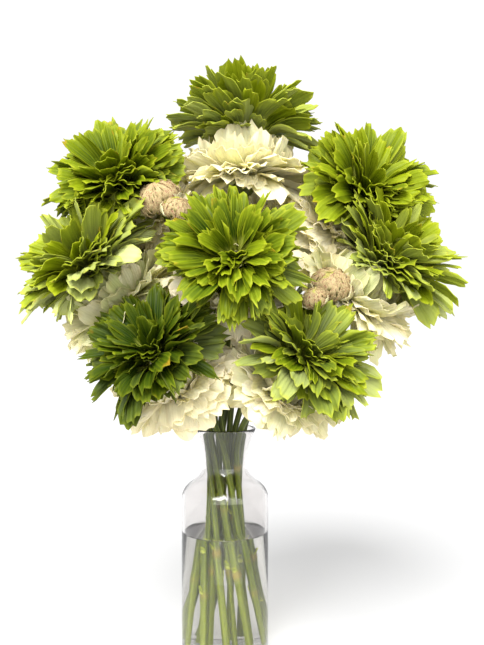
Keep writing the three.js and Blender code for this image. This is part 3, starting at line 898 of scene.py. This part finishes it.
white_form = {
    "Claw": 0.3, "Widens from": 0.0, "Widest from": 0.62, "Rounding": 0.12, "Tooth": 0.035,
    "Side tooth": 0.07, "Ruffle": 0.17,
}
petal_white = petal_material("petal_white", WHITE_LOOK)
for number, head in enumerate(flowers):
    draw = random.Random(WHITE_SEED + number)
    pick = picker(draw, WHITE_RANGES)
    reach = head.reach
    layer = []
    for i in range(WHITE_COUNT):
        share = i / (WHITE_COUNT - 1)
        inner = max(0.0, (share - INNER_FROM) / (1 - INNER_FROM))
        angle = WHITE_WIDEST + share * (WHITE_STEEPEST - WHITE_WIDEST) + pick("angle")
        length = reach * WHITE_LENGTH * pick("length") * (1 - INNER_SHORTER * inner)
        half = reach * WHITE_HALF * pick("half") * (1 - INNER_NARROWER * inner)
        azimuth = i * GOLDEN_ANGLE + pick("azimuth")
        petal = fitted(head, white_spine, length, angle, half, azimuth, pick("curl"), pick("sway"))
        if petal is None:
            continue
        petal.update(roll=pick("roll"), phase=pick("phase"), cup=pick("cup"), light=draw.random())
        petal["cream"] = min(1, INNER_CREAM * inner**2 + head.cream * draw.random())
        petal["hook"] = pick("hook") * (1 - inner)
        layer.append(petal)
    name = head.name + "_white_petals"
    add_petals(name + "_dressed", layer, petal_white, white_form, name)


# Green petals: the crown of each flower, a dome of spoon-shaped petals. Each has a pale, narrow claw
# that widens into a green blade with fanning veins and a toothed yellow margin.
BRIGHT = (-0.7, 0.4, 0.3, 1.0)
# From the ground to the lit colours, as light as each petal is.
GREEN_LOOK = {
    "cloud": 130.0,
    "ground": ((34, 58, 2), (56, 82, 2)),
    "lit": ((114, 132, 6), (146, 154, 20)),
    "veins": (19.0, 5.0),
    "margin": (0.82, 0.94),
    "specks": (90.0, 2.0),
    "gathering": (0.85, 1.0, 0.0, 0.2),
    "marks": [
        # Painted shade: petals whose light value falls below 0.1 are darkened towards a deep green, most
        # of all on the lower left flower, low under the bunch.
        ((24, 42, 2), {"light": (0.1, -0.5, 0.0, 0.7)}),
        # Painted shade: each blade is darkened from near its end down to its claw, where the petals lie
        # under one another.
        ((30, 52, 2), {"length": (0.95, 0.62, 0.0, 0.6)}),
        ((140, 156, 12), {"length": (0.72, 1.0, 0.0, 0.4), "light": BRIGHT}),
        (
            (168, 182, 30),
            {"vein": (0.3, 1.0, 0.0, 0.36), "length": (1.0, 0.55, 0.35, 1.0), "light": BRIGHT},
        ),
        ((190, 196, 84), {"length": (0.66, 0.44, 0.0, 0.9)}),
        ((204, 210, 138), {"cream": 1.0}),
        ((186, 192, 44), {"margin": 0.8, "cloud": 1.0, "light": BRIGHT}),
        ((168, 124, 34), {"specks": (0.82, 0.95, 0.0, 0.6)}),
    ],
    "relief": {"veins": 0.6, "pucker scale": 300.0, "puckers": 1.0},
    "bump": {"strength": 0.4, "distance": 0.5 * MM},
    "roughness": 0.5,
    "glow": (150, 168, 6),
    "through": 0.2,
}
# Sizes in shares of the reach. Young petals are the ones near the top of the dome.
GREEN_COUNT = 180
GREEN_HALF = 0.142
GREEN_STEEPEST = math.radians(5)
GREEN_WIDEST = math.radians(90)
CLOSING = math.radians(12)
GREEN_ROOT_AT = (0.09, -0.17)
GREEN_BEND_LEAN = 0.3
GREEN_BEND_PULL = 0.5
GREEN_BEND_RISE = 0.12
GREEN_TIP_RISE = 0.08
GREEN_SEED = 700
GREEN_RANGES = {
    "angle": (-0.13, 0.13), "short": (0.55, 0.82), "long": (0.86, 1.0), "half": (0.6, 1.2),
    "curl": (-0.35, 0.25), "young curl": (0.1, 0.9), "azimuth": (-0.45, 0.45),
    "sway": (-0.16, 0.16), "phase": PHASES, "cup": (0.2, 1.8), "light": (-0.3, 0.3),
    "hook": (-0.5, 2.3),
}
SHORT_SHARE = 0.45
YOUNG_WITHIN = math.radians(60)
YOUNG_SHORTER = 0.3
YOUNG_NARROWER = 0.25
YOUNG_LIGHTER = 0.2
LIGHT_LIMITS = (-0.8, 1)
LEAST_LOOSE = 0.5
ROLL_SPREAD = 0.6
OUTER_HOOK_LOSS = 0.7
LOW_FROM = 0.55
LOW_CREAM = 0.15
LOW_HEAD_CREAM = 1.8
SCATTERED_CREAM = 0.6


def green_spine(reach, length, angle):
    """Root, bend and tip of a green petal, as radius and height from the crown."""
    root = (GREEN_ROOT_AT[0] * reach * math.sin(angle), GREEN_ROOT_AT[1] * reach)
    lean = GREEN_BEND_LEAN * angle
    pull = GREEN_BEND_PULL * length
    bend = (root[0] + pull * math.sin(lean), root[1] + pull * math.cos(lean) + GREEN_BEND_RISE * reach)
    tip = (length * math.sin(angle), GREEN_TIP_RISE * reach + length * math.cos(angle))
    return root, bend, tip


petal_green = petal_material("petal_green", GREEN_LOOK)
for number, head in enumerate(flowers):
    draw = random.Random(GREEN_SEED + number)
    pick = picker(draw, GREEN_RANGES)
    reach = head.reach
    opened = head.opened
    loose = LEAST_LOOSE + (1 - LEAST_LOOSE) * opened
    top = math.cos(GREEN_STEEPEST)
    bottom = math.cos(GREEN_WIDEST - CLOSING * (1 - opened))
    layer = []
    for i in range(GREEN_COUNT):
        share = (i + 0.5) / GREEN_COUNT
        angle = math.acos(top + share * (bottom - top)) + pick("angle")
        young = 1 - min(1, angle / YOUNG_WITHIN)
        size = pick("short") if draw.random() < SHORT_SHARE else pick("long")
        length = reach * size * (1 - YOUNG_SHORTER * young * opened)
        half = reach * GREEN_HALF * pick("half") * (1 - YOUNG_NARROWER * young)
        curl = pick("curl") - young * opened * pick("young curl")
        azimuth = i * GOLDEN_ANGLE + pick("azimuth")
        petal = fitted(head, green_spine, length, angle, half, azimuth, curl, pick("sway"))
        if petal is None:
            continue
        petal["roll"] = loose * draw.gauss(0, ROLL_SPREAD)
        petal.update(phase=pick("phase"), cup=loose * pick("cup"))
        petal["light"] = np.clip(head.light + pick("light") + YOUNG_LIGHTER * young, *LIGHT_LIMITS)
        petal["hook"] = pick("hook") * (1 - OUTER_HOOK_LOSS * share) * loose
        low_down = max(0, share - LOW_FROM) / (1 - LOW_FROM)
        cream = (LOW_CREAM + LOW_HEAD_CREAM * head.cream) * low_down * draw.random()
        petal["cream"] = min(1, cream + SCATTERED_CREAM * head.cream * draw.random() ** 2)
        layer.append(petal)
    name = head.name + "_green_petals"
    add_petals(name + "_dressed", layer, petal_green, {}, name)


# Bracts: the small leaf bases that stay on the stems' joints. Each points a way that keeps it clear
# of the glass and of the other stems, and a joint with no room for one has none.
BRACT_LENGTH = 9 * MM
BRACT_HALF = 2.2 * MM
BRACT_SPREAD = 2.4 * MM
BRACT_ROOT_OUT = 0.8
BRACT_BEND_UP = 0.4
BRACT_BEND_OUT = 0.7
BRACT_CUP = -1
BRACT_CREAM = 0.1
BRACT_TRIES = 12
BRACT_ROOM = 0.6 * MM
BRACT_SEED = 41
BRACT_RANGES = {"turn": (0, 2 * math.pi), "length": (0.6, 1), "phase": PHASES, "light": (0.4, 1)}
bract_form = {
    "Columns": 5, "Rows": 5, "Claw": 0.8, "Widens from": 0.0, "Widest from": 0.4, "Rounding": 0.55,
    "Tooth": 0.05, "Side tooth": 0.1, "Cup": 0.5, "Ruffle": 0.1, "Thickness": 0.4 * MM,
}
inner_wall = np.array(neck(WALL))


def distance_to(points, path):
    """The least distance from points to the line through a path's points."""
    steps = np.diff(path, axis=0)
    apart = points[:, None, :] - path[:-1]
    share = np.clip((apart * steps).sum(axis=2) / (steps * steps).sum(axis=1), 0, 1)
    return np.linalg.norm(apart - share[..., None] * steps, axis=2).min()


def bract_fits(head, points):
    """True where a bract's points are clear of the other stems and inside the glass."""
    for other in heads:
        if other is not head and distance_to(points, other.path) < other.thick + BRACT_ROOM:
            return False
    room = np.interp(points[:, 2], inner_wall[:, 1], inner_wall[:, 0]) - BRACT_ROOM
    inside = np.hypot(points[:, 0], points[:, 1]) < room
    return np.all(inside | (points[:, 2] > VASE_HEIGHT + BRACT_LENGTH))


def bract_at(head, at, rise, pick):
    """A bract at a point of a stem, or None where no way is clear."""
    for _ in range(BRACT_TRIES):
        side = unit(np.cross(rise, polar(1, pick("turn"), 0)))
        out = np.cross(side, rise)
        root = at + BRACT_ROOT_OUT * head.thick * out
        bend = root + BRACT_BEND_UP * BRACT_LENGTH * rise + BRACT_BEND_OUT * BRACT_SPREAD * out
        tip = root + BRACT_LENGTH * pick("length") * rise + BRACT_SPREAD * out
        corners = [bend + way * BRACT_HALF * side for way in (-1, 0, 1)] + [tip]
        if bract_fits(head, np.array(corners)):
            petal = {"line": [root, bend, tip], "side": side, "half": BRACT_HALF}
            petal.update(roll=0, hook=0, cup=BRACT_CUP, cream=BRACT_CREAM)
            petal.update(phase=pick("phase"), light=pick("light"))
            return petal
    return None


pick = picker(random.Random(BRACT_SEED), BRACT_RANGES)
for head in heads:
    path = head.path
    travelled = shares_along(path)
    layer = []
    for joint in head.joints:
        at = np.array([np.interp(joint, travelled, path[:, axis]) for axis in range(3)])
        above = np.searchsorted(travelled, joint)
        petal = bract_at(head, at, unit(path[above] - path[above - 1]), pick)
        if petal:
            layer.append(petal)
    if layer:
        add_petals(head.name + "_bracts", layer, petal_green, bract_form)


# Buds: half-open cushions of many small petals that close over one another, blush cream, with rows
# of purple-brown specks at the petals' edges, and three broad petals that come away below.
BUD_LOOK = {
    "cloud": 200.0,
    "ground": ((190, 176, 130), (172, 150, 108)),
    "veins": (12.0, 1.0),
    "specks": (1100.0, 1.0),
    "marks": [
        ((160, 166, 84), {"length": (0.75, 0.3, 0.0, 0.9)}),
        ((158, 168, 44), {"light": (0.45, 0.85, 0.0, 0.85)}),
        ((222, 218, 172), {"cream": 1.0, "length": (0.4, 0.8)}),
        ((132, 66, 66), {"specks": (0.54, 0.62, 0.0, 0.8), "length": (0.7, 0.9)}),
    ],
    "relief": {"veins": 1.0, "pucker scale": 500.0, "puckers": 1.0},
    "bump": {"strength": 0.25, "distance": 0.4 * MM},
    "roughness": 0.55,
    "glow": (238, 216, 170),
    "through": 0.2,
}
BUD_COUNT = 96
SCOOP_COUNT = 3
BUD_FLATTENING = 0.78
BUD_CENTRE_RISE = 0.72
BUD_COVERED = 1.35
TOP_LIMIT = 0.02
# Points of a petal's line: size as a share of the bud's radius, and angle from the petal's own. The
# scoops' angles are from the top.
BUD_ROOT = (0.45, 0.7)
BUD_BEND = (1.16, 0.25)
BUD_TIP_ANGLE = -0.3
SCOOP_ROOT = (0.3, 2.8)
SCOOP_BEND = (1.45, 2.3)
SCOOP_TIP_SIZE = 1.16
SCOOP_HALF = 0.6
SCOOP_CUP = -1.6
GREEN_PATCH = (-0.5, -0.35, 0.8)
FULL_PATCH_FROM = 0.75
BUD_SEED = 900
BUD_RANGES = {
    "azimuth": (0, 0.25), "tip size": (0.98, 1.08), "half": (0.15, 0.22), "roll": (-0.2, 0.2),
    "phase": PHASES, "cup": (0.4, 1.2), "scoop tip": (1.3, 1.5),
}
bud_form = {
    "Columns": 7, "Claw": 0.45, "Widens from": 0.1, "Widest from": 0.7, "Rounding": 0.25,
    "Tooth": 0.04, "Cup": -0.25, "Ruffle": 0.05, "Thickness": 0.5 * MM,
}


def on_globe(bud, outwards, size, angle):
    """A point of a bud's flattened globe, at a share of its radius and an angle from its top."""
    angle = max(angle, TOP_LIMIT)
    radius = size * bud.reach
    flat = radius * math.sin(angle) * outwards
    return bud.centre + flat + radius * BUD_FLATTENING * math.cos(angle) * bud.facing


bud_blush = petal_material("bud_blush", BUD_LOOK)
for number, bud in enumerate(buds, len(flowers)):
    draw = random.Random(BUD_SEED + number)
    pick = picker(draw, BUD_RANGES)
    bud.centre = bud.base + BUD_CENTRE_RISE * bud.reach * bud.facing
    layer = []
    for i in range(BUD_COUNT):
        angle = math.acos(1 - BUD_COVERED * (i + 0.5) / BUD_COUNT)
        outwards, across = directions(bud, i * GOLDEN_ANGLE + pick("azimuth"))
        points = (BUD_ROOT, BUD_BEND, (pick("tip size"), BUD_TIP_ANGLE))
        line = [on_globe(bud, outwards, size, angle + more) for size, more in points]
        half = bud.reach * pick("half")
        patch = np.dot(unit(line[1] - bud.centre), unit(GREEN_PATCH))
        petal = {"line": line, "side": across, "half": half, "roll": pick("roll"), "hook": 0}
        petal.update(phase=pick("phase"), cup=pick("cup"), cream=0)
        petal["light"] = draw.random() * max(0, patch) + max(0, patch - FULL_PATCH_FROM)
        if i >= BUD_COUNT - SCOOP_COUNT:
            points = (SCOOP_ROOT, SCOOP_BEND, (SCOOP_TIP_SIZE, pick("scoop tip")))
            petal["line"] = [on_globe(bud, outwards, size, at) for size, at in points]
            petal.update(half=bud.reach * SCOOP_HALF, cup=SCOOP_CUP, cream=1, light=0)
        layer.append(petal)
    name = bud.name + "_bud"
    add_petals(name + "_dressed", layer, bud_blush, bud_form, name)


# Floor and light: a white table top and white surroundings, one large soft light from the front
# left, above, and one that is low and wide, from the front right.
FLOOR_RADIUS = 30.0
FLOOR_SEGMENTS = 64
FLOOR_SHADE = 0.41
FLOOR_GLOW = 0.2
WORLD_STRENGTH = 1.0
SEEN_WORLD_STRENGTH = 1.05
WHITE = (1, 1, 1, 1)
floor = shown("floor", turned_mesh("floor", [(FLOOR_RADIUS, 0), (0, 0)], FLOOR_SEGMENTS))
made, bench = new_material("floor_white")
grey = (FLOOR_SHADE, FLOOR_SHADE, FLOOR_SHADE, 1)
matt = {"Base Color": grey, "Roughness": 1.0, "Specular IOR Level": 0.0}
glowing = {"Emission Color": WHITE, "Emission Strength": FLOOR_GLOW}
bench.end("ShaderNodeOutputMaterial", bench.body({**matt, **glowing}))
floor.data.materials.append(made)

world = bpy.data.worlds.new("white_surroundings")
world.use_nodes = True
world.node_tree.nodes.clear()
bench = Bench(world.node_tree)
seen = bench.add("ShaderNodeLightPath", {}, {}, "Is Camera Ray")
strength = bench.smooth(seen, 0.0, 1.0, WORLD_STRENGTH, SEEN_WORLD_STRENGTH)
sky = bench.add("ShaderNodeBackground", {}, {"Color": WHITE, "Strength": strength})
bench.end("ShaderNodeOutputWorld", sky)
bpy.context.scene.world = world

# Each light: strength, spread, the way it shines over the floor, and its height above it.
LIGHTS = {
    "soft_key": (5.7, math.radians(34), (0.34, 1.0), math.radians(45)),
    "front_fill": (3.2, math.radians(80), (-0.2, 1.0), math.radians(6)),
}
for name, (strength, spread, towards, height) in LIGHTS.items():
    light_data = bpy.data.lights.new(name, "SUN")
    light_data.energy = strength
    light_data.angle = spread
    light = bpy.data.objects.new(name, light_data)
    shines = Vector((*unit(towards), -math.tan(height))).normalized()
    light.rotation_euler = Vector((0, 0, -1)).rotation_difference(shines).to_euler()
    bpy.context.scene.collection.objects.link(light)
bpy.context.scene.view_settings.view_transform = "Standard"
